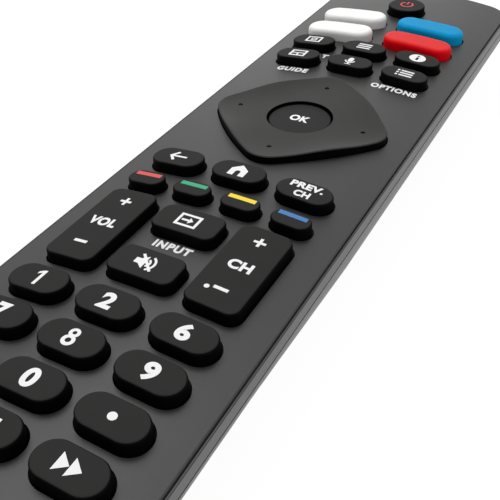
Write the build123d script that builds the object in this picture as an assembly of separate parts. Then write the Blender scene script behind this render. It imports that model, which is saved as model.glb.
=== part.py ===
from build123d import *
import os

# Universal remote control, millimetres.
# +Z is up out of the keys, +Y points to the infrared end, and the flat back lies on Z = 0.

# Body
body_length = 202.0
body_width = 46.8
end_bow = 1.6
corner_radius = 6.0
crown_height = 1.6
wall = 1.6
face_edge_thickness = 1.3
parting_drop = 2.75
flat_back_half_width = 12.9
flank_shares = ((-1, 0.8), (-0.45, 0.74), (-0.1, 0.44), (1, 0.44))
end_sweep = 16.0
end_knee_share = 0.3
groove_inset = 0.3
groove_width = 0.35
groove_depth = 0.6
rim_drop = 0.25
rim_radius = 0.15
parting_groove_depth = 0.25
parting_groove_height = 0.3
lip_thickness = 0.7
lip_height = 1.0
lip_clearance = 0.1

# Stack from the back to the face
door_thickness = 1.4
cell_diameter = 10.5
cell_clearance = 0.3
bay_wall = 0.8
board_thickness = 1.0
mat_thickness = 0.6
key_travel = 0.8
press_clearance = 0.1
flange_thickness = 0.6
seat_gap = 0.1

# Keys, each with its own opening in the face
key_gap = 0.35
flange_reach = 0.7
key_lift = 2.05
shortcut_lift = 2.4
key_edge_radius = 0.45
shortcut_edge_radius = 1.0
keypad_side_margin = 5.55
column_gap = 2.4
power_diameter = 9.2
shortcut_width = 6.6
shortcut_column_gap = 3.3
colour_side_inset = 0.2
colour_key_width = 4.2
colour_column_gap = 2.3
block_side_gap = 2.2
block_key_width = 6.6
block_corner_radius = 1.9

# Gaps between the rows of keys, from the far end to the near end
far_margin = 13.3
power_gap = 3.1
shortcut_row_gap = 3.2
function_gap = 2.6
function_row_gap = 3.0
nav_far_gap = 5.14
nav_near_gap = 3.94
colour_gap = 3.2
rocker_gap = 2.4
input_gap = 3.3
mute_gap = 5.4
digit_gap = 2.8
digit_row_gap = 2.3
digit_row_count = 4
upper_small_row_count = 3
grip_share = 4.983

# Rubber domes on the mat and their sockets in the keys
dome_radius = 0.9
dome_height = 1.0
socket_clearance = 0.4

# Rocker keys
rocker_length = 20.0
rocker_side_inset = 0.55
rocker_wing_length = 5.0
rocker_drop = 0.3
rocker_bar_radius = 0.8
rocker_dome_spacing = 14.0
rocker_dome_height = 0.3

# Navigation pad and OK key
nav_side_margin = 5.24
nav_gap = 0.25
nav_tip_share = 0.27
nav_side_share = 0.832
nav_lift = 0.7
nav_rim_rise = 0.8
nav_rim_power = 5
nav_squareness = 0.3
nav_patch_margin = 2.0
nav_patch_steps = 24
nav_patch_tolerance = 0.001
nav_edge_radius = 0.3
nav_flange_reach = 0.9
nav_flange_thickness = 0.7
nav_rock_room = 0.65
nav_hollow_share = 0.611
nav_dimple_radius = 0.47
nav_dimple_depth = 0.25
nav_dimple_share = 0.743
ok_gap = 0.38
ok_lift = 0.24
ok_edge_radius = 0.3
ok_flange_reach = 1.4
ok_flange_drop = 0.4
ok_share = 0.347
ring_width_share = 0.116
ring_side_clearance = 0.6
ring_clearance = 0.35
snap_dome_radius = 2.2
snap_dome_height = 0.25

# Battery bay, cells and contacts
bay_near_margin = 16.5
bay_slack = 0.2
cell_length = 44.5
cell_spacing = 0.6
cell_nub_radius = 2.75
cell_nub_length = 1.0
cell_edge_radius = 0.4
spring_length = 4.0
spring_base_radius = 3.4
spring_tip_radius = 2.2
plate_thickness = 0.4
plate_width = 8.0

# Battery door
door_side_margin = 0.6
door_gap = 0.1
door_end_height = 5.0
rail_reach = 0.9
rail_thickness = 0.8
rail_clearance = 0.15
grip_count = 5
grip_pitch = 2.2
grip_width = 1.0
grip_depth = 0.35
grip_length = 12.0
grip_margin = 6.0

# Screws
screw_spacing = 16.0
screw_inset = 8.0
screw_radius = 1.0
screw_head_radius = 1.9
screw_head_height = 1.4
screw_socket_radius = 0.8
screw_socket_depth = 0.8
screw_hole_gap = 0.25
shelf_thickness = 4.0
screw_engagement = 1.9
post_wall = 1.5

# Board and what it carries
board_inset = 2.7
board_end_inset = 6.8
board_rib_thickness = 1.2
board_rib_places_share = (0.1, 0.62)
chip_size = 7.0
chip_height = 1.0
chip_margin = 60.2
crystal_length = 10.0
crystal_width = 4.4
crystal_height = 3.4
crystal_gap = 6.3
capacitor_radius = 2.6
capacitor_length = 11.0
capacitor_margin = 8.2
emitter_radius = 1.5
emitter_length = 4.2
emitter_collar_radius = 1.9
emitter_collar_length = 0.8
window_half_width = 9.5
window_height = 4.0
window_top_drop = 1.4
window_clearance = 0.05
microphone_radius = 2.0
microphone_height = 1.5
microphone_hole_radius = 0.5
microphone_offset = 14.0

# Levels worked out from the stack
cell_radius = cell_diameter / 2
cell_floor = door_thickness + cell_clearance
bay_ceiling = cell_floor + cell_diameter + press_clearance
board_under = bay_ceiling + bay_wall
board_top = board_under + board_thickness
mat_top = board_top + mat_thickness
flange_under = mat_top + key_travel + press_clearance
flange_top = flange_under + flange_thickness
ceiling = flange_top + seat_gap
crease = ceiling + face_edge_thickness
parting = crease - parting_drop
top_height = crease + crown_height
socket_top = flange_under + dome_height + seat_gap - press_clearance
nav_flange_top = ceiling - nav_rock_room
nav_flange_under = nav_flange_top - nav_flange_thickness
ok_flange_under = board_top + snap_dome_height + key_travel + press_clearance
ok_flange_top = ok_flange_under + flange_thickness
nav_hollow_top = ok_flange_top + ok_flange_drop
shelf_under = board_under - shelf_thickness
window_top = crease - window_top_drop
window_low = window_top - window_height

# The crown is an arc across the face, between the two grooves
half_length = body_length / 2
half_width = body_width / 2
crown_half_width = half_width - groove_inset
crown_radius = (crown_half_width**2 + crown_height**2) / (2 * crown_height)
crown_axis = top_height - crown_radius
overrun = wall

# Lengths of the keys: each row fills the width of the keypad
keypad_width = body_width - 2 * keypad_side_margin
small_key_length = (keypad_width - 2 * column_gap) / 3
shortcut_length = (keypad_width - shortcut_column_gap) / 2
colour_key_length = (keypad_width - 2 * colour_side_inset - 3 * colour_column_gap) / 4
column_pitch = small_key_length + column_gap
rocker_width = small_key_length - 2 * rocker_side_inset
block_key_length = 2 * (column_pitch - block_side_gap) - rocker_width

# Radii of the pad's pieces, as parts of its reach
nav_reach = half_width - nav_side_margin
nav_hollow_radius = nav_hollow_share * nav_reach
nav_dimple_circle = nav_dimple_share * nav_reach
ring_outer = nav_hollow_radius - ring_side_clearance
ring_inner = ring_outer - ring_width_share * nav_reach
ok_radius = ok_share * nav_reach

# The rows of small keys and the bare grip share the length that the other rows leave
far_rows_length = far_margin + power_diameter + power_gap + 2 * shortcut_width + shortcut_row_gap
function_gaps = function_gap + function_row_gap
nav_length = nav_far_gap + 2 * nav_reach + nav_near_gap
rocker_rows_length = colour_gap + colour_key_width + rocker_gap + rocker_length
digit_gaps = digit_gap + (digit_row_count - 1) * digit_row_gap
taken_length = far_rows_length + function_gaps + nav_length + rocker_rows_length + digit_gaps
small_key_width = (body_length - taken_length) / (upper_small_row_count + digit_row_count + grip_share)

# Key places worked out row by row from the far end
shortcut_offset = (shortcut_length + shortcut_column_gap) / 2
colour_pitch = colour_key_length + colour_column_gap
power_y = half_length - far_margin - power_diameter / 2
shortcut_y = power_y - (power_diameter + shortcut_width) / 2 - power_gap
shortcut_pitch = shortcut_width + shortcut_row_gap
function_y = shortcut_y - shortcut_pitch - (shortcut_width + small_key_width) / 2 - function_gap
function_pitch = small_key_width + function_row_gap
nav_y = function_y - function_pitch - small_key_width / 2 - nav_far_gap - nav_reach
home_y = nav_y - nav_reach - nav_near_gap - small_key_width / 2
colour_y = home_y - (small_key_width + colour_key_width) / 2 - colour_gap
rocker_y = colour_y - (colour_key_width + rocker_length) / 2 - rocker_gap
input_y = colour_y - (colour_key_width + block_key_width) / 2 - input_gap
mute_y = input_y - block_key_width - mute_gap
digit_y = rocker_y - (rocker_length + small_key_width) / 2 - digit_gap
digit_pitch = small_key_width + digit_row_gap

# Places worked out in the battery bay, at the screws and on the board
bay_half_width = cell_diameter + cell_spacing / 2 + bay_slack
bay_near_y = bay_near_margin - half_length
bay_far_y = bay_near_y + cell_length + spring_length + 2 * plate_thickness + bay_slack
cell_x = (cell_diameter + cell_spacing) / 2
door_far_y = bay_far_y + bay_wall
door_half_width = flat_back_half_width - door_side_margin
rail_inner = bay_half_width + bay_wall + rail_clearance
rail_outer = door_half_width + rail_reach
rail_near_y = end_sweep - half_length
screw_y = screw_inset - half_length
board_far_y = half_length - board_end_inset
chip_y = board_far_y - chip_margin
crystal_y = chip_y + (chip_size + crystal_width) / 2 + crystal_gap
capacitor_far_y = board_far_y - capacitor_margin

# Shape of the pad: round tips, and the radius of the bowed sides that run into them
nav_tip_radius = nav_tip_share * nav_reach
nav_tip_x = nav_reach - nav_tip_radius
nav_side_reach = nav_side_share * nav_reach
nav_spread = nav_tip_x**2 + nav_side_reach**2 - nav_tip_radius**2 - 2**0.5 * nav_tip_x * nav_side_reach
nav_side_radius = nav_spread / (2 * (nav_side_reach - nav_tip_radius) - 2**0.5 * nav_tip_x)
nav_centre_distance = nav_side_radius - nav_tip_radius
nav_side_centre = (nav_side_radius - nav_side_reach) / 2**0.5

os.makedirs("parts", exist_ok=True)


def slab(outline, low, high):
    """A flat outline made solid between two heights."""
    return Pos(0, 0, low) * extrude(outline, high - low)


def disc(radius, low, high, x=0, y=0):
    """An upright round piece between two heights."""
    return slab(Pos(x, y) * Circle(radius), low, high)


def block(near_x, far_x, near_y, far_y, low, high):
    """A square-edged block between its faces."""
    outline = Rectangle(far_x - near_x, far_y - near_y)
    return slab(Pos((near_x + far_x) / 2, (near_y + far_y) / 2) * outline, low, high)


def rod(radius, near_y, far_y, x, z):
    """A round bar along Y."""
    return Pos(x, far_y, z) * Rot(90, 0, 0) * extrude(Circle(radius), far_y - near_y)


def under_crown(lift, near_y, far_y):
    """Everything below a copy of the crowned face that is raised by lift."""
    return rod(crown_radius, near_y, far_y, 0, crown_axis + lift)


def plan(inset):
    """Outline seen from above: straight sides, gently bowed ends, rounded corners."""
    side = half_width - inset
    end = half_length - inset
    shoulder = end - end_bow
    edges = [
        Line((side, -shoulder), (side, shoulder)),
        ThreePointArc((side, shoulder), (0, end), (-side, shoulder)),
        Line((-side, shoulder), (-side, -shoulder)),
        ThreePointArc((-side, -shoulder), (0, -end), (side, -shoulder)),
    ]
    outline = make_face(edges)
    return fillet(outline.vertices(), corner_radius - inset)


def boat(reach, foot, knee_share, inset):
    """A section with a flat bottom whose sides curve up to stand upright at the parting line."""
    side = reach - inset
    knee = inset + (parting - inset) * knee_share
    return make_face(
        [
            Line((-foot, inset), (foot, inset)),
            Bezier((foot, inset), (side, knee), (side, parting)),
            Line((side, parting), (side, top_height)),
            Line((side, top_height), (-side, top_height)),
            Line((-side, top_height), (-side, parting)),
            Bezier((-side, parting), (-side, knee), (-foot, inset)),
        ]
    )


def tube(inset):
    """The body's cross sections in a row: its flanks turn in more towards the near end."""
    sections = []
    for place, knee_share in flank_shares:
        across = boat(half_width, flat_back_half_width, knee_share, inset)
        sections.append(Plane.XZ.offset(-place * half_length) * across)
    return loft(sections, ruled=True)


def hull(inset):
    """The whole body before the crown is cut, drawn in by an inset."""
    along = boat(half_length, half_length - end_sweep, end_knee_share, inset)
    profile = Plane.YZ.offset(-half_width) * along
    body = slab(plan(inset), inset, top_height)
    return body & tube(inset) & extrude(profile, body_width)


def straight_keys():
    """Every key that goes straight down: name, place, length, width and kind."""
    keys = [("power_key", 0, power_y, power_diameter, power_diameter, "round")]
    for row, names in enumerate((("white_upper", "blue"), ("white_lower", "red"))):
        for side, name in zip((-1, 1), names):
            x = side * shortcut_offset
            y = shortcut_y - row * shortcut_pitch
            size = (shortcut_length, shortcut_width)
            keys.append((f"{name}_shortcut_key", x, y, *size, "shortcut"))
    rows = [
        (function_y, ("format_key", "menu_key", "info_key")),
        (function_y - function_pitch, ("guide_key", "voice_key", "options_key")),
        (home_y, ("back_key", "home_key", "previous_key")),
    ]
    for row in range(digit_row_count):
        names = [f"number_key_{row + 1}_{place}" for place in ("left", "middle", "right")]
        rows.append((digit_y - row * digit_pitch, names))
    for y, names in rows:
        for column, name in zip((-1, 0, 1), names):
            x = column * column_pitch
            keys.append((name, x, y, small_key_length, small_key_width, "small"))
    colours = ("red", "green", "yellow", "blue")
    for place, colour in enumerate(colours):
        x = (place - (len(colours) - 1) / 2) * colour_pitch
        keys.append((f"{colour}_bar_key", x, colour_y, colour_key_length, colour_key_width, "small"))
    for name, y in (("input_key", input_y), ("mute_key", mute_y)):
        keys.append((name, 0, y, block_key_length, block_key_width, "block"))
    return keys


def rocker_places():
    """The two rocker keys and the column that each stands in."""
    return {"volume_rocker": -column_pitch, "channel_rocker": column_pitch}


def key_outline(x, y, length, width, kind, grow=0):
    """A key's outline in its place, grown by a margin all round."""
    if kind == "round":
        outline = Circle(length / 2 + grow)
    elif kind == "block":
        radius = block_corner_radius + grow
        outline = RectangleRounded(length + 2 * grow, width + 2 * grow, radius)
    else:
        outline = SlotOverall(length + 2 * grow, width + 2 * grow)
    return Pos(x, y) * outline


def nav_outline(grow=0):
    """A square stood on its corner, grown by a margin: bowed sides that run into round tips."""
    tip = nav_tip_radius + grow
    middle = (nav_side_reach + grow) / 2**0.5
    along = nav_tip_x + tip * (nav_tip_x + nav_side_centre) / nav_centre_distance
    across = tip * nav_side_centre / nav_centre_distance
    arcs = [
        ThreePointArc((along, -across), (nav_tip_x + tip, 0), (along, across)),
        ThreePointArc((along, across), (middle, middle), (across, along)),
    ]
    return Pos(0, nav_y) * make_face([Rot(0, 0, 90 * turn) * arc for turn in range(4) for arc in arcs])


def soften_top(solid, radius):
    """Round the edges of a solid's highest face."""
    return fillet(solid.faces().sort_by(Axis.Z)[-1].edges(), radius)


def key_cap(outline, low, lift, edge_radius):
    """A key's column, cut to the crown of the face and softened round its top edge."""
    column = slab(outline, low, top_height + 2 * lift)
    size = column.bounding_box()
    return soften_top(column & under_crown(lift, size.min.Y, size.max.Y), edge_radius)


def straight_key(place):
    """A key that goes straight down: cap, hidden flange and the socket for its dome."""
    is_shortcut = place[-1] == "shortcut"
    lift = shortcut_lift if is_shortcut else key_lift
    edge_radius = shortcut_edge_radius if is_shortcut else key_edge_radius
    cap = key_cap(key_outline(*place), flange_under, lift, edge_radius)
    flange = slab(key_outline(*place, flange_reach), flange_under, flange_top)
    socket = disc(dome_radius + socket_clearance, flange_under, socket_top, place[0], place[1])
    return cap + flange - socket


def rocker_key(x):
    """A long key that rocks on a round bar across its middle."""
    outline = key_outline(x, rocker_y, rocker_width, rocker_length, "block")
    reach = rocker_width / 2 + flange_reach
    near_y = rocker_y - rocker_wing_length / 2
    far_y = rocker_y + rocker_wing_length / 2
    wing_top = flange_top - rocker_drop
    wing = block(x - reach, x + reach, near_y, far_y, flange_under, wing_top)
    bar = Pos(x, rocker_y, flange_under) * Rot(0, 90, 0) * Cylinder(rocker_bar_radius, rocker_width)
    return key_cap(outline, flange_under, key_lift, key_edge_radius) + wing + bar


def nav_top_height(x, y):
    """Height of the dished pad: it follows the crown and turns up towards its outline."""
    radius = (x**2 + y**2) ** 0.5
    diagonal = (2 * x * y / max(radius, nav_edge_radius) ** 2) ** 2
    share = radius * (1 + nav_squareness * diagonal) / nav_reach
    face = crown_axis + (crown_radius**2 - x**2) ** 0.5
    return face + nav_lift + nav_rim_rise * share**nav_rim_power


def nav_top():
    """The dished top of the pad as one smooth surface, a little larger than its outline."""
    reach = nav_side_reach + nav_patch_margin
    steps = [reach * (2 * i / nav_patch_steps - 1) for i in range(nav_patch_steps + 1)]
    grid = []
    for v in steps:
        across = [((u - v) / 2**0.5, (u + v) / 2**0.5) for u in steps]
        grid.append([Vector(x, nav_y + y, nav_top_height(x, y)) for x, y in across])
    return Face.make_surface_from_array_of_points(grid, tol=nav_patch_tolerance, min_deg=3, max_deg=5)


def nav_dimple_places():
    """The four small dimples on the pad's two diagonals, with the height of the pad there."""
    for x, y in ((1, 0), (0, 1), (-1, 0), (0, -1)):
        place = (x * nav_dimple_circle, y * nav_dimple_circle)
        yield place[0], nav_y + place[1], nav_top_height(*place)


def nav_pad():
    """The four-way pad: dished top, hole for the OK key, hollow underside and flange."""
    column = slab(nav_outline(), nav_flange_under, 2 * top_height)
    pad = soften_top(split(column, bisect_by=nav_top(), keep=Keep.TOP), nav_edge_radius)
    pad += slab(nav_outline(nav_flange_reach), nav_flange_under, nav_flange_top)
    pad -= disc(nav_hollow_radius, nav_flange_under, nav_hollow_top, 0, nav_y)
    pad -= disc(ok_radius + ok_gap, nav_hollow_top, 2 * top_height, 0, nav_y)
    for x, y, height in nav_dimple_places():
        pad -= disc(nav_dimple_radius, height - nav_dimple_depth, 2 * top_height, x, y)
    return pad


def ok_key():
    """The round key in the middle of the pad, with the flange that keeps it in."""
    cap = key_cap(Pos(0, nav_y) * Circle(ok_radius), ok_flange_under, ok_lift, ok_edge_radius)
    return cap + disc(ok_radius + ok_flange_reach, ok_flange_under, ok_flange_top, 0, nav_y)


def nav_support_ring():
    """The rubber ring inside the pad's hollow, on which the pad rocks."""
    low = board_top + ring_clearance
    high = nav_hollow_top - ring_clearance
    ring = disc(ring_outer, low, high, 0, nav_y)
    return ring - disc(ring_inner, low, high, 0, nav_y)


def snap_domes():
    """Five flat metal domes on the board: four under the pad and one under the OK key."""
    high = board_top + snap_dome_height
    places = [(0, nav_y)] + [(x, y) for x, y, _ in nav_dimple_places()]
    return Compound([disc(snap_dome_radius, board_top, high, x, y) for x, y in places])


def screw_places():
    """The two screws side by side near the end."""
    return [(side * screw_spacing / 2, screw_y) for side in (-1, 1)]


def window_block(clearance=0):
    """The space of the infrared window in the far wall."""
    side = window_half_width - clearance
    near_y = half_length - wall - end_bow
    low = window_low + clearance
    return block(-side, side, near_y, half_length + overrun, low, window_top - clearance)


def top_housing():
    """The upper shell: crowned face with the key openings, groove, side wall and posts."""
    rim_top = crease - rim_drop
    shell = hull(0) & block(-half_width, half_width, -half_length, half_length, parting, rim_top)
    shell = soften_top(shell, rim_radius)
    face = slab(plan(groove_inset + groove_width), parting, top_height)
    shell += soften_top(face & under_crown(0, -half_length, half_length), rim_radius)
    shell -= slab(plan(wall), parting, ceiling)
    rebate = wall - lip_thickness - lip_clearance
    shell -= slab(plan(rebate), parting, parting + lip_height + lip_clearance)
    groove = plan(groove_inset) - plan(groove_inset + groove_width)
    shell -= slab(groove, rim_top - groove_depth, rim_top)
    parting_groove = plan(0) - plan(parting_groove_depth)
    shell -= slab(parting_groove, parting, parting + parting_groove_height)
    openings = [key_outline(*place, key_gap) for _, *place in straight_keys()]
    size = (rocker_width, rocker_length, "block")
    openings += [key_outline(x, rocker_y, *size, key_gap) for x in rocker_places().values()]
    openings.append(nav_outline(nav_gap))
    for opening in openings:
        shell -= slab(opening, parting, top_height + overrun)
    for x, y in screw_places():
        shell += disc(screw_radius + post_wall, board_top + seat_gap, ceiling, x, y)
        shell -= disc(screw_radius, board_top, flange_top, x, y)
    return shell - window_block()


def door_block(clearance=0):
    """The space of the battery door in the back and the near end."""
    side = door_half_width - clearance
    far_y = door_far_y - clearance
    high = door_end_height - clearance
    return block(-side, side, -half_length - overrun, far_y, -overrun, high)


def battery_bay():
    """The box over the cells and the shelf that the screws pull on."""
    side = bay_half_width + bay_wall
    low = door_thickness + door_gap
    box = block(-side, side, bay_near_y - bay_wall, door_far_y, low, board_under)
    box -= block(-bay_half_width, bay_half_width, bay_near_y, bay_far_y, 0, bay_ceiling)
    shelf = block(-side, side, -half_length, bay_near_y - bay_wall, shelf_under, board_under)
    return box + shelf


def board_ribs():
    """Two cross ribs that hold up the board where there is no bay."""
    ribs = []
    for share in board_rib_places_share:
        y = share * half_length
        near_y = y - board_rib_thickness / 2
        far_y = y + board_rib_thickness / 2
        ribs.append(block(-half_width, half_width, near_y, far_y, 0, board_under))
    return ribs


def bottom_housing():
    """The lower shell: boat-shaped back, lip, battery bay, screw shelf and board ribs."""
    body = hull(0)
    shell = body & block(-half_width, half_width, -half_length, half_length, 0, parting)
    shell -= hull(wall)
    inside = [battery_bay()] + board_ribs()
    for piece in inside:
        shell += piece & body
    lip = plan(wall - lip_thickness) - plan(wall - lip_clearance)
    shell += slab(lip, parting - lip_height, parting + lip_height)
    shell -= door_block()
    low = door_thickness - rail_clearance
    high = door_thickness + rail_thickness + rail_clearance
    for side in (-1, 1):
        edges = sorted((side * (rail_inner - rail_clearance), side * (rail_outer + rail_clearance)))
        shell -= block(*edges, -half_length, door_far_y, low, high)
    for x, y in screw_places():
        shell -= disc(screw_radius + screw_hole_gap, shelf_under, board_under, x, y)
    height = board_under - microphone_height / 2
    far_y = half_length + overrun
    shell -= rod(microphone_hole_radius, half_length / 2, far_y, microphone_offset, height)
    return shell - window_block()


def battery_door():
    """The sliding door: part of the back and near end, two rails and a ribbed thumb grip."""
    door = (hull(0) - hull(door_thickness)) & door_block(door_gap)
    for side in (-1, 1):
        edges = sorted((side * rail_inner, side * rail_outer))
        high = door_thickness + rail_thickness
        door += block(*edges, rail_near_y, door_far_y - door_gap, door_thickness, high)
    for i in range(grip_count):
        y = door_far_y - grip_margin - i * grip_pitch
        near_y = y - grip_width / 2
        far_y = y + grip_width / 2
        door -= block(-grip_length / 2, grip_length / 2, near_y, far_y, 0, grip_depth)
    return door


def cell_direction(side):
    """The left cell points to the far end and the right one to the near end."""
    return -side


def battery_cell(side):
    """One AAA cell with its raised positive end."""
    height = cell_floor + cell_radius
    can_length = cell_length - cell_nub_length
    spring_room = plate_thickness + spring_length
    if cell_direction(side) > 0:
        near_y = bay_near_y + spring_room
        nub_y = near_y + can_length
    else:
        near_y = bay_far_y - spring_room - can_length
        nub_y = near_y - cell_nub_length
    body = rod(cell_radius, near_y, near_y + can_length, side * cell_x, height)
    ends = body.edges().filter_by(GeomType.CIRCLE)
    body = fillet(ends, cell_edge_radius)
    return body + rod(cell_nub_radius, nub_y, nub_y + cell_nub_length, side * cell_x, height)


def contact_plate(side, near_y):
    """A flat contact against an end wall of the bay."""
    edges = (side * cell_x - plate_width / 2, side * cell_x + plate_width / 2)
    height = cell_floor + cell_radius
    levels = (height - plate_width / 2, height + plate_width / 2)
    return block(*edges, near_y, near_y + plate_thickness, *levels)


def spring_contact(side):
    """The sprung contact at a cell's flat end, drawn as the cone that its turns fill."""
    cone = Cone(spring_base_radius, spring_tip_radius, spring_length)
    middle = Pos(side * cell_x, 0, cell_floor + cell_radius)
    if cell_direction(side) > 0:
        plate_y = bay_near_y
        spring_y = plate_y + plate_thickness + spring_length / 2
        turn = Rot(-90, 0, 0)
    else:
        plate_y = bay_far_y - plate_thickness
        spring_y = plate_y - spring_length / 2
        turn = Rot(90, 0, 0)
    return contact_plate(side, plate_y) + Pos(0, spring_y, 0) * middle * turn * cone


def button_contact(side):
    """The flat contact at a cell's raised end."""
    far = bay_far_y - plate_thickness
    return contact_plate(side, far if cell_direction(side) > 0 else bay_near_y)


def circuit_board():
    """The board, with holes for the screw posts."""
    board = slab(plan(board_inset), board_under, board_top)
    board &= block(-half_width, half_width, -half_length, board_far_y, board_under, board_top)
    for x, y in screw_places():
        board -= disc(screw_radius + screw_hole_gap, board_under, board_top, x, y)
    return board


def keypad_mat():
    """The rubber sheet on the board, with a dome under every key but the pad."""
    mat = slab(plan(board_inset), board_top, mat_top)
    mat &= block(-half_width, half_width, -half_length, board_far_y, board_top, mat_top)
    mat -= slab(nav_outline(nav_flange_reach + key_gap), board_top, mat_top)
    for x, y in screw_places():
        mat -= disc(screw_radius + post_wall + screw_hole_gap, board_top, mat_top, x, y)
    for _, x, y, *_ in straight_keys():
        mat += disc(dome_radius, mat_top, mat_top + dome_height, x, y)
    for x in rocker_places().values():
        for side in (-1, 1):
            y = rocker_y + side * rocker_dome_spacing / 2
            mat += disc(dome_radius, mat_top, mat_top + rocker_dome_height, x, y)
    return mat


def housing_screw(x, y):
    """A pan-head screw from under the shelf up into the top housing's post."""
    tip = board_top + seat_gap + screw_engagement
    head_low = shelf_under - screw_head_height
    screw = disc(screw_head_radius, head_low, shelf_under, x, y)
    screw += disc(screw_radius, shelf_under, tip, x, y)
    return screw - disc(screw_socket_radius, head_low, head_low + screw_socket_depth, x, y)


def control_chip():
    """The flat control chip under the board."""
    outline = Pos(0, chip_y) * Rectangle(chip_size, chip_size)
    return slab(outline, board_under - chip_height, board_under)


def crystal():
    """The can of the timing crystal under the board."""
    outline = Pos(0, crystal_y) * SlotOverall(crystal_length, crystal_width)
    return slab(outline, board_under - crystal_height, board_under)


def capacitor():
    """The smoothing capacitor, lying under the board."""
    height = board_under - capacitor_radius - seat_gap
    near_y = capacitor_far_y - capacitor_length
    return rod(capacitor_radius, near_y, capacitor_far_y, column_pitch, height)


def infrared_emitter():
    """The lamp at the board's far edge, pointing out through the window."""
    height = (board_under + board_top) / 2
    collar_y = board_far_y + emitter_collar_length
    collar = rod(emitter_collar_radius, board_far_y, collar_y, 0, height)
    tip = emitter_length - emitter_collar_length - emitter_radius
    lens = rod(emitter_radius, collar_y, collar_y + tip, 0, height)
    return collar + lens + Pos(0, collar_y + tip, height) * Sphere(emitter_radius)


def microphone():
    """The round microphone under the board, behind its hole in the far wall."""
    y = board_far_y - microphone_radius
    return disc(microphone_radius, board_under - microphone_height, board_under, microphone_offset, y)


def save(name, shape):
    """Write one node."""
    shape.label = name
    export_step(shape, f"parts/{name}.step")


save("top_housing", top_housing())
save("bottom_housing", bottom_housing())
save("battery_door", battery_door())
save("infrared_window", (hull(0) & window_block(window_clearance)) - hull(wall))
for key_name, *key_place in straight_keys():
    save(key_name, straight_key(key_place))
for rocker_name, rocker_x in rocker_places().items():
    save(rocker_name, rocker_key(rocker_x))
save("navigation_pad", nav_pad())
save("ok_key", ok_key())
save("navigation_support_ring", nav_support_ring())
save("snap_domes", snap_domes())
save("keypad_mat", keypad_mat())
save("circuit_board", circuit_board())
save("control_chip", control_chip())
save("timing_crystal", crystal())
save("capacitor", capacitor())
save("infrared_emitter", infrared_emitter())
save("microphone", microphone())
for cell_side, side_name in ((-1, "left"), (1, "right")):
    save(f"battery_cell_{side_name}", battery_cell(cell_side))
save("spring_contacts", Compound([spring_contact(side) for side in (-1, 1)]))
save("button_contacts", Compound([button_contact(side) for side in (-1, 1)]))
save("housing_screws", Compound([housing_screw(*place) for place in screw_places()]))
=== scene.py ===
import math

import bpy
from mathutils import Matrix, Vector


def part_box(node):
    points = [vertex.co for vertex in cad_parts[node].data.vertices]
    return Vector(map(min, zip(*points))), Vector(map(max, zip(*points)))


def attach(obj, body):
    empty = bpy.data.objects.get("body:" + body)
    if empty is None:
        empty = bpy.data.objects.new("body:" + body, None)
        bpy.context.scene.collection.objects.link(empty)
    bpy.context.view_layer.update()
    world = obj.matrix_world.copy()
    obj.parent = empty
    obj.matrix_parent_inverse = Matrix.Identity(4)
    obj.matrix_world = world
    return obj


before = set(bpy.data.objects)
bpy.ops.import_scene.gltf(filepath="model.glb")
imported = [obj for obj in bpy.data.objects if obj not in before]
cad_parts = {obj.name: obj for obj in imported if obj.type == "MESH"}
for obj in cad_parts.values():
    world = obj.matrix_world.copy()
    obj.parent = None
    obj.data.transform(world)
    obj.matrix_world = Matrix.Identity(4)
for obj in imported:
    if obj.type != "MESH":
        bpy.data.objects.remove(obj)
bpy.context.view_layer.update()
bpy.ops.object.select_all(action="DESELECT")

# Camera.
# It looks down over the near right corner of the handset, towards the navigation pad.
# The far end of the handset leaves the picture at the top right, the near end at the bottom left.
mm = 0.001
camera_target = Vector((10.803, -22.720, 18.6)) * mm
camera_distance = 118.8 * mm
camera_azimuth = math.radians(29.14)
camera_elevation = math.radians(38.03)
camera_roll = math.radians(-1.469)
camera_lens = 54.17
camera_nearest = 5 * mm

bpy.ops.object.camera_add()
camera = bpy.context.object
camera.name = "camera"
camera.data.lens = camera_lens
camera.data.clip_start = camera_nearest
aim = Matrix.Rotation(camera_azimuth, 4, "Z") @ Matrix.Rotation(math.pi / 2 - camera_elevation, 4, "X")
aim = aim @ Matrix.Rotation(camera_roll, 4, "Z")
camera.matrix_world = Matrix.Translation(camera_target + aim.col[2].to_3d() * camera_distance) @ aim
bpy.context.scene.camera = camera
bpy.context.scene.view_settings.view_transform = "Standard"

# Floor and studio light.
# A wide white table with a strong soft lamp above it, a weaker one past the far end, and a pale room.
# The table and the room show white to the camera and in reflections, and the table keeps the shadow.
floor_size = 6.0
floor_shown_strength = 0.95
floor_shown_tone = 0.1
floor_dark = (0.78, 0.78, 0.78)
floor_light = (0.82, 0.82, 0.82)
floor_grain = 40.0
room_strength = 0.68
overhead_place = (-0.4, 0.3, 0.9)
overhead_turn = (0, 0, 0)
overhead_size = 0.6
overhead_power = 5.4
far_place = (-0.55, 1.25, 0.42)
far_turn = (math.radians(-72), 0, math.radians(24))
far_size = 0.7
far_power = 1.1


class Shade:
    """An output socket of a material, which Python sums turn into Math nodes."""

    def __init__(self, tree, socket=None):
        self.tree = tree
        self.socket = socket

    def make(self, kind, values=None, output=0, **settings):
        """Adds any node: its settings first, then the values or links of its sockets."""
        node = self.tree.nodes.new("ShaderNode" + kind)
        for key, setting in settings.items():
            setattr(node, key, setting)
        for key, value in (values or {}).items():
            if isinstance(value, Shade):
                self.tree.links.new(value.socket, node.inputs[key])
            else:
                node.inputs[key].default_value = value
        return Shade(self.tree, node.outputs[output] if len(node.outputs) else None)

    def maths(self, operation, first, second):
        return self.make("Math", {0: first, 1: second}, operation=operation)

    def __add__(self, other):
        return self.maths("ADD", self, other)

    def __mul__(self, other):
        return self.maths("MULTIPLY", self, other)

    __radd__ = __add__
    __rmul__ = __mul__


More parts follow.
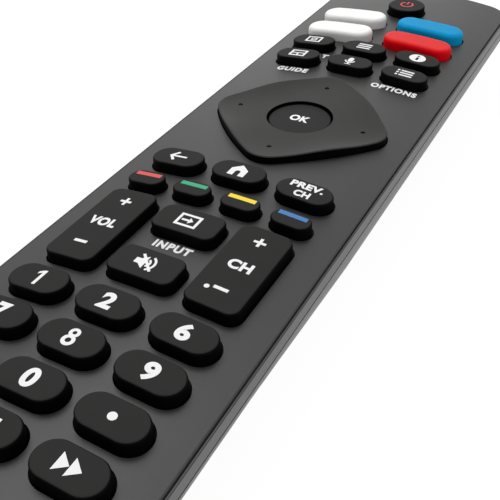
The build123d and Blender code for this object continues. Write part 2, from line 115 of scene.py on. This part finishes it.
def shown_rays(shade):
    """1 for what the camera and reflections see, 0 for light on its way to the object."""
    seen = shade.make("LightPath", output="Is Camera Ray")
    glossy = shade.make("LightPath", output="Is Glossy Ray")
    through = shade.make("LightPath", output="Is Transmission Ray")
    return shade.maths("MAXIMUM", shade.maths("MAXIMUM", seen, glossy), through)


def start_tree(owner):
    """Clears the nodes of a material or world."""
    owner.use_nodes = True
    owner.node_tree.nodes.clear()
    return Shade(owner.node_tree)


# A Mix node's colours and its result go by number, because its sockets share their names.
mix_low, mix_high, mix_result = 6, 7, 2


def blend_colours(shade, mask, low, high):
    """Mixes two colours, each a tuple or a Shade."""
    low = low if isinstance(low, Shade) else (*low, 1)
    high = high if isinstance(high, Shade) else (*high, 1)
    sockets = {"Factor": mask, mix_low: low, mix_high: high}
    return shade.make("Mix", sockets, output=mix_result, data_type="RGBA")


room = bpy.data.worlds.new("pale_room")
bpy.context.scene.world = room
shade = start_tree(room)
strength = shown_rays(shade) * (1 - room_strength) + room_strength
background = shade.make("Background", {"Color": (1, 1, 1, 1), "Strength": strength})
shade.make("OutputWorld", {"Surface": background})

table_white = bpy.data.materials.new("table_white")
shade = start_tree(table_white)
grain = shade.make("TexNoise", {"Scale": floor_grain, "Detail": 3.0})
lit = shade.make("BsdfDiffuse", {"Color": blend_colours(shade, grain, floor_dark, floor_light)})
shown = shade.make("AddShader", {
    0: shade.make("BsdfDiffuse", {"Color": (floor_shown_tone,) * 3 + (1,)}),
    1: shade.make("Emission", {"Color": (1, 1, 1, 1), "Strength": floor_shown_strength}),
})
mixed = shade.make("MixShader", {0: shown_rays(shade), 1: lit, 2: shown})
shade.make("OutputMaterial", {"Surface": mixed})

bpy.ops.mesh.primitive_plane_add(size=floor_size)
floor = bpy.context.object
floor.name = "table"
floor.data.materials.append(table_white)

lamps = {"overhead_lamp": (overhead_place, overhead_turn, overhead_size, overhead_power),
         "far_lamp": (far_place, far_turn, far_size, far_power)}
for name, (place, turn, size, power) in lamps.items():
    bpy.ops.object.light_add(type="AREA", location=place, rotation=turn)
    lamp = bpy.context.object
    lamp.name = name
    lamp.data.size = size
    lamp.data.energy = power
bpy.ops.object.select_all(action="DESELECT")


# Housing: top shell, bottom shell and battery door.
# All three are moulded in dark grey ABS with a fine spark texture.
# The shells close on a lip at the parting line, and the door slides off the back on two rails.
face_colour = (0.0106, 0.0106, 0.0101)
# The wall colour is painted light: the top shell's upright sides get a far paler grey than its face.
wall_painted_light = (0.105, 0.105, 0.103)
# The back colour is the dark ABS made far paler than the face: painted light on the bottom shell's side band.
back_grey_and_painted_light = (0.130, 0.130, 0.128)
grain_size = 0.22 * mm
grain_depth = 0.009 * mm
mottle_size = 9 * mm
mottle_tone = 0.07
roughness_spread = 0.06
noise_roughness = 0.6
face_slope = 0.75
wall_slope = 0.35


def make_surface(name, **constants):
    """Starts a material: returns it, its first Shade and its shader node with the constants set."""
    material = bpy.data.materials.new(name)
    shade = start_tree(material)
    shader = shade.tree.nodes.new("ShaderNodeBsdfPrincipled")
    for key, value in constants.items():
        shader.inputs[key.replace("_", " ")].default_value = value
    shade.make("OutputMaterial", {"Surface": Shade(shade.tree, shader.outputs[0])})
    return material, shade, shader


def feed(shader, **links):
    """Links what varies over a surface to the shader's sockets."""
    for key, value in links.items():
        value.tree.links.new(value.socket, shader.inputs[key.replace("_", " ")])


def object_noise(shade, size, detail=2.0):
    """Even noise on Object coordinates, with features of the given size."""
    place = shade.make("TexCoord", output="Object")
    return shade.make("TexNoise", {"Vector": place, "Scale": 1 / size, "Detail": detail,
                                   "Roughness": noise_roughness})


def coordinate(shade, space, axis):
    """One axis of the Object or Normal coordinates."""
    return shade.make("SeparateXYZ", {"Vector": shade.make("TexCoord", output=space)}, output=axis)


def rise_from(shade, value, none, full):
    """0 where the value is at the first limit, 1 where it is at the second, even between them."""
    return shade.make("MapRange", {"Value": value, "From Min": none, "From Max": full})


def tint(colour, factor):
    return tuple(min(1, part * factor) for part in colour)


def patchy(shade, noise, colour, low, high):
    """A colour that follows a noise between two strengths of itself."""
    return blend_colours(shade, noise, tint(colour, low), tint(colour, high))


def uneven(first, second, middle, spread):
    """A number that two noises move about its middle."""
    return first * spread + second * spread + (middle - spread)


def bumps(shade, height, depth):
    return shade.make("Bump", {"Height": height, "Distance": depth, "Strength": 1.0})


def moulded(name, colour, roughness, specular=0.5, wall=None):
    """Moulded plastic or rubber: a fine texture, faint patches of shine and tone, and a paler wall that is
    painted light.
    """
    material, shade, shader = make_surface(name, Specular_IOR_Level=specular)
    grain = object_noise(shade, grain_size)
    patches = object_noise(shade, mottle_size, detail=3.0)
    tone = patchy(shade, patches, colour, 1 - mottle_tone, 1 + mottle_tone)
    if wall:
        # Upright faces take the wall colour, painted light on the side walls.
        upright = rise_from(shade, coordinate(shade, "Normal", "Z"), face_slope, wall_slope)
        tone = blend_colours(shade, upright, tone, wall)
    feed(shader, Base_Color=tone, Roughness=uneven(patches, grain, roughness, roughness_spread),
         Normal=bumps(shade, grain, grain_depth))
    return material


def dress(node, material):
    """Gives every slot of a CAD node the material."""
    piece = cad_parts[node]
    if not piece.material_slots:
        piece.data.materials.append(material)
    for slot in piece.material_slots:
        slot.material = material


dress("top_housing", moulded("face_abs", face_colour, roughness=0.46, specular=0.46, wall=wall_painted_light))
# The bottom shell and the door carry painted light in their paler grey.
back_abs = moulded("back_abs", back_grey_and_painted_light, roughness=0.46)
dress("bottom_housing", back_abs)
dress("battery_door", back_abs)

# Infrared window.
# A dark polycarbonate block, polished, that lets infrared through the far end of the housing.
# It is held between the two shells.
window_tint = (0.011, 0.0035, 0.005)
haze_size = 4 * mm


def between(noise, low, high):
    """A number that follows a noise from low to high."""
    return noise * (high - low) + low


window, shade, shader = make_surface("window_polycarbonate", Coat_Roughness=0.03)
haze = object_noise(shade, haze_size)
feed(shader, Base_Color=patchy(shade, haze, window_tint, low=0.8, high=1),
     Roughness=between(haze, low=0.07, high=0.13), Coat_Weight=between(haze, low=0.05, high=0.15))
dress("infrared_window", window)

# Rubber keys.
# Moulded black silicone keys over the domes of the mat, matte grey on the tops and near black on the flanks.
# The grey is painted light on the tops and the near black is painted shade on the flanks; they part where the
# top rounds over into the flank.
# Near black rubber: the ring's own colour, and painted shade on the key flanks.
rubber_black_and_painted_shade = (0.0008, 0.0008, 0.0008)
top_grey_painted_light = (0.0262, 0.0262, 0.0257)
key_grain_size = 0.18 * mm
key_grain_depth = 0.005 * mm
key_patch_size = 3 * mm
key_patch_tone = 0.1
key_roughness_spread = 0.08


def topped(name, flank, top, roughness, specular, edge=0.72, soft=0.2):
    """A key with one colour on its flanks and another on its top, parted by the slope: painted light and
    shade on one material.

    The top's colour starts where the normal's Z is edge, and is full where it is edge + soft.
    """
    material, shade, shader = make_surface(name, Specular_IOR_Level=specular)
    lit_top = rise_from(shade, coordinate(shade, "Normal", "Z"), edge, edge + soft)
    grain = object_noise(shade, key_grain_size)
    patches = object_noise(shade, key_patch_size)
    top_tone = patchy(shade, patches, top, 1 - key_patch_tone, 1 + key_patch_tone)
    feed(shader, Base_Color=blend_colours(shade, lit_top, flank, top_tone),
         Roughness=uneven(grain, patches, roughness, key_roughness_spread),
         Normal=bumps(shade, grain, key_grain_depth))
    return material


# Painted light on the key tops and painted shade on their flanks.
rubber_painted_light_and_shade = topped("rubber_painted_light_and_shade", rubber_black_and_painted_shade, top_grey_painted_light, roughness=0.6, specular=0.04)
small_keys = ["power_key", "format_key", "menu_key", "info_key", "guide_key", "voice_key", "options_key",
              "back_key", "home_key", "previous_key", "red_bar_key", "green_bar_key", "yellow_bar_key",
              "blue_bar_key", "input_key", "mute_key", "volume_rocker", "channel_rocker"]
digit_keys = [f"number_key_{row}_{side}" for row in range(1, 5) for side in ("left", "middle", "right")]
for node in small_keys + digit_keys:
    dress(node, rubber_painted_light_and_shade)

# Shortcut keys.
# Four wide silicone keys moulded in white, blue and red, with satin tops that carry no print.
# They stand a little higher than the rest and have rounder edges.
shortcut_white = (0.86, 0.86, 0.84)
# The flank colours are painted: painted shade on the white keys' flanks and painted light on the blue and red
# keys' flanks.
white_flank_painted_shade = tint(shortcut_white, factor=0.9)
shortcut_blue = (0.003, 0.28, 0.57)
blue_flank_painted_light = (0.001, 0.31, 0.61)
shortcut_red = (0.72, 0.030, 0.030)
red_flank_painted_light = (0.76, 0.001, 0.006)
white_silicone = topped("white_silicone", white_flank_painted_shade, shortcut_white, roughness=0.5, specular=0.4)
dress("white_upper_shortcut_key", white_silicone)
dress("white_lower_shortcut_key", white_silicone)
coloured_keys = {"blue": (blue_flank_painted_light, shortcut_blue), "red": (red_flank_painted_light, shortcut_red)}
for colour, (flank, top) in coloured_keys.items():
    silicone = topped(colour + "_silicone", flank, top, roughness=0.5, specular=0.06, edge=0.6, soft=0.35)
    dress(colour + "_shortcut_key", silicone)

# Navigation pad and OK key.
# The pad is hard dark grey plastic, dished, with four dimples, and rocks on a rubber ring.
# The OK key is a plain disc in its middle with a darker, more matte finish.
pad_colour = (0.0390, 0.0390, 0.0380)
# The flank colour is painted shade: the flanks of the pad and the OK key are near black.
pad_flank_painted_shade = (0.0008, 0.0008, 0.0008)
ok_colour = (0.0108, 0.0108, 0.0104)
pad_plastic = topped("pad_plastic", pad_flank_painted_shade, pad_colour, roughness=0.42, specular=0.05, edge=0.45, soft=0.1)
ok_plastic = topped("ok_plastic", pad_flank_painted_shade, ok_colour, roughness=0.6, specular=0.12, edge=0.6, soft=0.3)
dress("navigation_pad", pad_plastic)
dress("ok_key", ok_plastic)
dress("navigation_support_ring", moulded("ring_rubber", rubber_black_and_painted_shade, roughness=0.7, specular=0.3))

# Keypad mat, snap domes and battery contacts.
# One sheet of black silicone with a dome under each small key lies on the board, under the keys.
# The snap domes under the pad and the OK key, and the cells' contacts, are nickel plated spring steel.
mat_black = (0.011, 0.011, 0.012)
mark_size = 0.3 * mm
mark_depth = 0.003 * mm
metal_patch_size = 3 * mm
metal_patch_tone = 0.85
metal_roughness_spread = 0.12
dress("keypad_mat", moulded("mat_silicone", mat_black, roughness=0.68, specular=0.3))


def metal(name, colour, roughness):
    """Bare or plated metal with fine handling marks."""
    material, shade, shader = make_surface(name, Metallic=1.0)
    marks = object_noise(shade, mark_size, detail=4.0)
    patches = object_noise(shade, metal_patch_size, detail=3.0)
    feed(shader, Base_Color=patchy(shade, patches, colour, metal_patch_tone, 1),
         Roughness=uneven(marks, patches, roughness, metal_roughness_spread),
         Normal=bumps(shade, marks, mark_depth))
    return material


nickel_grey = (0.62, 0.60, 0.56)
spring_steel = metal("nickel_plated_steel", nickel_grey, roughness=0.3)
for node in ("snap_domes", "spring_contacts", "button_contacts"):
    dress(node, spring_steel)

# Circuit board.
# Glass fibre board under green solder mask, with lighter copper tracks that show through it.
# It is clamped between the ribs of the two shells.
mask_green = (0.006, 0.060, 0.022)
track_green = (0.018, 0.125, 0.05)
track_pitch = 1.3 * mm
track_low = 0.45 * track_pitch
track_high = 0.55 * track_pitch
track_wander = 0.006
wander_scale = 90.0
routed_size = 14 * mm
weave_size = 0.4 * mm
weave_share = 0.3
copper_depth = 0.02 * mm
board, shade, shader = make_surface("solder_mask", Specular_IOR_Level=0.5)
place = shade.make("TexCoord", output="Object")
wander = shade.make("TexNoise", {"Vector": place, "Scale": wander_scale, "Detail": 0.0})
across = coordinate(shade, "Object", "X") + wander * track_wander
lines = shade.maths("PINGPONG", across, track_pitch)
tracks = rise_from(shade, lines, track_low, track_high)
routed = rise_from(shade, object_noise(shade, routed_size), none=0.48, full=0.52)
copper = tracks * routed
weave = object_noise(shade, weave_size)
feed(shader, Base_Color=blend_colours(shade, copper, mask_green, track_green),
     Roughness=between(weave, low=0.25, high=0.35),
     Normal=bumps(shade, copper + weave * weave_share, copper_depth))
dress("circuit_board", board)

# Parts on the board.
# A moulded epoxy chip, a crystal in a drawn steel can, an aluminium capacitor, a clear emitter
# and a small steel microphone can, all soldered to the board.
chip_black = (0.013, 0.013, 0.014)
can_grey = (0.70, 0.70, 0.69)
emitter_dark = (0.03, 0.035, 0.06)
emitter_light = (0.05, 0.06, 0.10)
cloud_size = 2 * mm
dress("control_chip", moulded("epoxy", chip_black, roughness=0.5, specular=0.4))
can_metal = metal("drawn_can", can_grey, roughness=0.22)
for node in ("timing_crystal", "capacitor", "microphone"):
    dress(node, can_metal)
emitter, shade, shader = make_surface("emitter_epoxy", Coat_Roughness=0.05)
cloud = object_noise(shade, cloud_size)
feed(shader, Base_Color=blend_colours(shade, cloud, emitter_dark, emitter_light),
     Roughness=between(cloud, low=0.06, high=0.11), Coat_Weight=between(cloud, low=0.6, high=0.8))
dress("infrared_emitter", emitter)

# Battery cells.
# Two AAA cells: a steel can in a plain printed jacket, dark for most of its length and copper
# coloured towards the button, with bare metal at both ends.
jacket_dark = (0.016, 0.017, 0.019)
jacket_copper = (0.42, 0.16, 0.055)
can_bare = (0.60, 0.59, 0.57)
jacket_margin = 0.9 * mm
copper_share = 0.26
band_edge_share = 0.004
button_share = 0.02
scuff_size = 2.5 * mm
bare_metallic = 0.95


def jacketed(node, button_side):
    """The jacket of one cell, banded along Y, with its button at the given side."""
    low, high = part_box(node)
    material, shade, shader = make_surface(node + "_jacket")
    along = coordinate(shade, "Object", "Y")
    start, end = (low.y, high.y) if button_side < 0 else (high.y, low.y)
    length = end - start
    copper_end = start + length * copper_share
    dark = rise_from(shade, along, copper_end, copper_end + length * band_edge_share)
    bare_low = shade.maths("LESS_THAN", along, low.y + jacket_margin)
    bare_high = shade.maths("GREATER_THAN", along, high.y - jacket_margin - abs(length) * button_share)
    bare = shade.maths("MAXIMUM", bare_low, bare_high)
    scuffs = object_noise(shade, scuff_size, detail=4.0)
    jacket = blend_colours(shade, dark, jacket_copper, jacket_dark)
    feed(shader, Base_Color=blend_colours(shade, bare, jacket, can_bare), Metallic=bare * bare_metallic,
         Roughness=between(scuffs, low=0.22, high=0.37))
    dress(node, material)


jacketed("battery_cell_left", button_side=1)
jacketed("battery_cell_right", button_side=-1)

# Housing screws.
# Two small zinc plated steel screws under the battery door.
# They go up through the bottom shell into posts of the top shell and hold the two together.
zinc_grey = (0.55, 0.56, 0.58)
dress("housing_screws", metal("zinc_plated_steel", zinc_grey, roughness=0.35))

# Key legends.
# White ink, pad printed on the key tops, one legend to a key, and red ink on the power key.
# Each is a flat outline laid on the key's own surface and given the thickness of the ink.
ink_white = (0.84, 0.84, 0.84)
ink_red = (0.62, 0.035, 0.04)
ink_patch_size = 0.5 * mm
ink_grain_depth = 0.004 * mm
ink_rise = 0.03 * mm
drop_height = 2 * mm
circle_steps = 28


def ink(name, colour):
    """A printed coat: nearly even, a little patchy at its thinnest."""
    material, shade, shader = make_surface(name, Specular_IOR_Level=0.3)
    patches = object_noise(shade, ink_patch_size, detail=3.0)
    feed(shader, Base_Color=patchy(shade, patches, colour, low=0.92, high=1.06),
         Roughness=between(patches, low=0.45, high=0.55), Normal=bumps(shade, patches, ink_grain_depth))
    return material


def as_mesh(shape):
    """Turns a flat curve or a word into a mesh, alone in the selection."""
    bpy.ops.object.select_all(action="DESELECT")
    shape.select_set(True)
    bpy.context.view_layer.objects.active = shape
    bpy.ops.object.convert(target="MESH")
    return bpy.context.object


def flat_shape(outlines, size):
    """A flat filled shape from closed outlines, drawn as shares of its size in millimetres.

    An outline inside another one is a hole.
    """
    curve = bpy.data.curves.new("outline", "CURVE")
    curve.dimensions = "2D"
    curve.fill_mode = "BOTH"
    for outline in outlines:
        spline = curve.splines.new("POLY")
        spline.points.add(len(outline) - 1)
        for point, (x, y) in zip(spline.points, outline):
            point.co = (x * size * mm, y * size * mm, 0, 1)
        spline.use_cyclic_u = True
    shape = bpy.data.objects.new("outline", curve)
    bpy.context.collection.objects.link(shape)
    return as_mesh(shape)


def join(shapes):
    """Joins flat shapes into one."""
    bpy.ops.object.select_all(action="DESELECT")
    for shape in shapes:
        shape.select_set(True)
    bpy.context.view_layer.objects.active = shapes[0]
    if len(shapes) > 1:
        bpy.ops.object.join()
    return bpy.context.object


def print_on(shapes, name, node, body, material, centre=None, rise=ink_rise):
    """Lays flat shapes on a CAD surface from above, thickens them and makes them ride.

    They go to the given centre in millimetres, or to the middle of the node.
    """
    mark = join(shapes)
    mark.name = name
    low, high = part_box(node)
    middle = (low + high) / 2
    spot = Vector((centre[0] * mm, centre[1] * mm)) if centre else middle.to_2d()
    mark.data.transform(Matrix.Translation((spot.x, spot.y, high.z + drop_height)))
    lay = mark.modifiers.new("lay", "SHRINKWRAP")
    lay.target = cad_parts[node]
    lay.wrap_method = "PROJECT"
    lay.use_project_z = True
    lay.use_negative_direction = True
    lay.use_positive_direction = False
    bpy.ops.object.modifier_apply(modifier=lay.name)
    coat = mark.modifiers.new("coat", "SOLIDIFY")
    coat.thickness = 2 * rise
    coat.offset = 0
    bpy.ops.object.modifier_apply(modifier=coat.name)
    mark.data.shade_flat()
    mark.data.materials.clear()
    mark.data.materials.append(material)
    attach(mark, body)


def rectangle(left, low, right, high):
    return [(left, low), (right, low), (right, high), (left, high)]


def arc(x, y, radius, start=0, end=360):
    """Points along an arc, angles in degrees; a full circle leaves out its last point."""
    last = circle_steps if end - start == 360 else circle_steps + 1
    turns = [math.radians(start + (end - start) * step / circle_steps) for step in range(last)]
    return [(x + radius * math.cos(turn), y + radius * math.sin(turn)) for turn in turns]


def band(x, y, outer, inner, start, end):
    """A closed outline along part of a ring."""
    return arc(x, y, outer, start, end) + arc(x, y, inner, start, end)[::-1]


white_ink = ink("white_ink", ink_white)
arrow = [(-0.50, 0), (-0.16, -0.42), (-0.04, -0.33), (-0.26, -0.065), (0.50, -0.065),
         (0.50, 0.065), (-0.26, 0.065), (-0.04, 0.33), (-0.16, 0.42)]
doorway = [(-0.14, -0.5)] + arc(0, -0.16, 0.14, 180, 0) + [(0.14, -0.5)]
house = [(0, 0.5), (-0.46, 0.10), (-0.46, -0.5)] + doorway + [(0.46, -0.5), (0.46, 0.10)]
frame_lines = [rectangle(-0.62, -0.5, 0.62, 0.5), rectangle(-0.47, -0.35, 0.47, 0.35)]
inner_arrow = [(0.28, 0), (0.03, 0.24), (0.03, 0.07), (-0.38, 0.07),
               (-0.38, -0.07), (0.03, -0.07), (0.03, -0.24)]
small_frame = [rectangle(-0.25, -0.2, 0.25, 0.2), rectangle(-0.15, -0.1, 0.15, 0.1)]
list_lines = [rectangle(-0.34, y - 0.09, 0.62, y + 0.09) for y in (0.36, 0, -0.36)]
list_dots = [rectangle(-0.62, y - 0.09, -0.45, y + 0.09) for y in (0.36, 0, -0.36)]
menu_lines = [rectangle(-0.5, y - 0.08, 0.5, y + 0.08) for y in (0.32, 0, -0.32)]
info_disc = [arc(0, 0, 0.5), rectangle(-0.075, -0.3, 0.075, 0.1), arc(0, 0.24, 0.085)]
capsule = arc(0, 0.28, 0.16, 0, 180) + arc(0, 0, 0.16, 180, 360)
microphone_marks = [capsule, band(0, 0.02, 0.33, 0.24, 180, 360), rectangle(-0.05, -0.45, 0.05, -0.31),
                    rectangle(-0.2, -0.52, 0.2, -0.45)]
power_marks = [band(0, 0, 0.5, 0.38, -240, 60), rectangle(-0.06, 0.05, 0.06, 0.55)]
speaker = [(-0.55, -0.17), (-0.32, -0.17), (-0.02, -0.42), (-0.02, 0.42), (-0.32, 0.17), (-0.55, 0.17)]
sound_waves = [band(-0.06, 0, 0.30, 0.20, -60, 60), band(-0.06, 0, 0.54, 0.43, -60, 60)]

key_symbols = {
    "power_key": (power_marks, 3.4),
    "format_key": (frame_lines + small_frame, 3.0),
    "menu_key": (menu_lines, 3.2),
    "info_key": (info_disc, 3.7),
    "guide_key": (frame_lines, 3.1),
    "voice_key": (microphone_marks, 3.6),
    "options_key": (list_lines + list_dots, 3.0),
    "back_key": ([arrow], 3.6),
    "home_key": ([house], 3.5),
    "input_key": (frame_lines + [inner_arrow], 3.2),
    "mute_key": ([speaker] + sound_waves, 3.5),
}
red_ink = ink("red_ink", ink_red)
for node, (outlines, size) in key_symbols.items():
    is_power = node == "power_key"
    print_on([flat_shape(outlines, size)], node + "_symbol", node, node + "_body",
             red_ink if is_power else white_ink)

# Second strokes.
# The lines inside the guide key's frame and the slash across the mute key's loudspeaker.
# Each crosses or touches the sign under it, so its ink stands a little higher.
second_ink_rise = 1.2 * ink_rise
schedule_lines = [rectangle(-0.47, -0.06, 0.47, 0.06), rectangle(-0.06, -0.35, 0.06, -0.06)]
slash = [(-0.44, 0.44), (-0.34, 0.52), (0.50, -0.40), (0.40, -0.48)]
second_strokes = {"guide_key_lines": ("guide_key", schedule_lines), "mute_key_slash": ("mute_key", [slash])}
for name, (node, outlines) in second_strokes.items():
    sign_size = key_symbols[node][1]
    print_on([flat_shape(outlines, sign_size)], name, node, node + "_body", white_ink,
             rise=second_ink_rise)

# Words on the keys.
# Plain capitals: two short lines on the previous channel key and one word on the OK key.
# They are printed in the same white ink as the symbols.
letter_weight = 0.045
letter_spacing = 1.06
previous_height = 1.75
previous_line = 1.2
upper_length = 6.1
lower_length = 2.9
ok_height = 2.3
ok_length = 4.1


def word(text, height, length, weight=letter_weight, spacing=letter_spacing):
    """A word in plain sans serif capitals or figures, centred, height and length in millimetres."""
    bpy.ops.object.text_add()
    letters = bpy.context.object
    letters.data.body = text
    letters.data.offset = weight
    letters.data.space_character = spacing
    letters = as_mesh(letters)
    corners = [vertex.co for vertex in letters.data.vertices]
    low = Vector(map(min, *corners))
    high = Vector(map(max, *corners))
    size = Matrix.Diagonal((length * mm / (high.x - low.x), height * mm / (high.y - low.y), 1, 1))
    letters.data.transform(size @ Matrix.Translation(-(low + high) / 2))
    return letters


def shift(shape, x, y):
    """Moves a flat shape by millimetres."""
    shape.data.transform(Matrix.Translation((x * mm, y * mm, 0)))
    return shape


previous_words = [shift(word("PREV.", previous_height, upper_length), 0, previous_line),
                  shift(word("CH", previous_height, lower_length), 0, -previous_line)]
print_on(previous_words, "previous_key_words", "previous_key", "previous_key_body", white_ink)
print_on([word("OK", ok_height, ok_length)], "ok_key_word", "ok_key", "ok", white_ink)

# Rocker signs.
# A plus towards the far end, a short word in the middle and a minus towards the near end.
# The channel rocker has a small dot beside its minus.
plus_size = 2.1
plus_place = 6.3
minus_size = 2.4
minus_place = -5.8
rocker_word_height = 2.2
rocker_dot_size = 0.85
rocker_dot_place = (-2.1, -6.3)
plus = [(-0.5, -0.12), (-0.12, -0.12), (-0.12, -0.5), (0.12, -0.5), (0.12, -0.12), (0.5, -0.12),
        (0.5, 0.12), (0.12, 0.12), (0.12, 0.5), (-0.12, 0.5), (-0.12, 0.12), (-0.5, 0.12)]
minus = rectangle(-0.5, -0.13, 0.5, 0.13)
dot = arc(0, 0, 0.5)
rocker_words = {"volume_rocker": ("VOL", 5.2), "channel_rocker": ("CH", 4.0)}
for node, (text, length) in rocker_words.items():
    signs = [shift(flat_shape([plus], plus_size), 0, plus_place), word(text, rocker_word_height, length),
             shift(flat_shape([minus], minus_size), 0, minus_place)]
    if node == "channel_rocker":
        signs.append(shift(flat_shape([dot], rocker_dot_size), *rocker_dot_place))
    print_on(signs, node + "_signs", node, node + "_body", white_ink)

# Figures and media signs.
# Four rows of three keys, from the far end to the near end, left to right.
# A six is a nine turned half round.
digit_height = 3.3
digit_length = 2.3
media_size = 3.4
dash_size = 2.2
dot_size = 1.3
eight_edge = arc(0, 0.24, 0.26, -48, 228) + arc(0, -0.20, 0.31, 146, 394)
eight = [eight_edge, arc(0, 0.25, 0.10), arc(0, -0.20, 0.135)]
one = [(-0.02, -0.5), (0.15, -0.5), (0.15, 0.5), (0.02, 0.5), (-0.23, 0.34), (-0.23, 0.19), (-0.02, 0.32)]
forward = [[(-0.5, -0.4), (0, 0), (-0.5, 0.4)], [(0.02, -0.4), (0.52, 0), (0.02, 0.4)]]
rewind = [[(-x, y) for x, y in outline][::-1] for outline in forward]
play = [[(-0.5, -0.4), (0.05, 0), (-0.5, 0.4)]]
pause = [rectangle(0.14, -0.4, 0.26, 0.4), rectangle(0.36, -0.4, 0.48, 0.4)]
digit_signs = dict(zip(digit_keys, "1 2 6 7 8 9 - 0 dot rewind play forward".split()))
drawn_signs = {"1": ([one], digit_height), "8": (eight, digit_height), "-": ([minus], dash_size),
               "dot": ([dot], dot_size), "rewind": (rewind, media_size),
               "play": (play + pause, media_size), "forward": (forward, media_size)}
for node, sign in digit_signs.items():
    if sign in drawn_signs:
        shape = flat_shape(*drawn_signs[sign])
    elif sign == "6":
        shape = word("9", -digit_height, -digit_length)
    else:
        shape = word(sign, digit_height, digit_length)
    print_on([shape], node + "_figure", node, node + "_body", white_ink)

# Colour bars.
# A short bar near the far edge of each of the four narrow keys, in red, green, yellow and blue ink.
# It is laid on as a row of narrow columns, so that it follows the crowned top.
bar_length = 5.1
bar_width = 1.0
bar_offset = 0.8
bar_columns = 8
weld_reach = 0.001 * mm
bar_inks = {"red": (0.66, 0.075, 0.072), "green": (0.024, 0.36, 0.19), "yellow": (0.90, 0.66, 0.035),
            "blue": (0.05, 0.18, 0.47)}
for colour, tone in bar_inks.items():
    edges = [bar_length * (step / bar_columns - 0.5) for step in range(bar_columns + 1)]
    strips = [flat_shape([rectangle(left, -bar_width / 2, right, bar_width / 2)], size=1)
              for left, right in zip(edges, edges[1:])]
    strip = shift(join(strips), 0, bar_offset)
    bpy.ops.object.mode_set(mode="EDIT")
    bpy.ops.mesh.select_all(action="SELECT")
    bpy.ops.mesh.remove_doubles(threshold=weld_reach)
    bpy.ops.object.mode_set(mode="OBJECT")
    print_on([strip], colour + "_bar", colour + "_bar_key", colour + "_bar_key_body",
             ink(colour + "_bar_ink", tone))

# Words on the face.
# Plain function words in white ink beside their keys, printed on the top shell.
# They stay with the housing when a key goes down. Middles, heights and lengths are in millimetres.
face_word_weight = 0.05
face_word_spacing = 1.18
face_words = {"guide": ("GUIDE", -12.0, 40.1, 2.0, 7.4), "options": ("OPTIONS", 12.0, 40.1, 2.0, 10.2),
              "format": ("FORMAT", -12.4, 49.1, 1.9, 10.4), "input": ("INPUT", 0.0, -28.4, 1.8, 6.9)}
for name, (text, x, y, height, length) in face_words.items():
    letters = word(text, height, length, face_word_weight, face_word_spacing)
    print_on([letters], name + "_face_word", "top_housing", "housing", white_ink, (x, y))
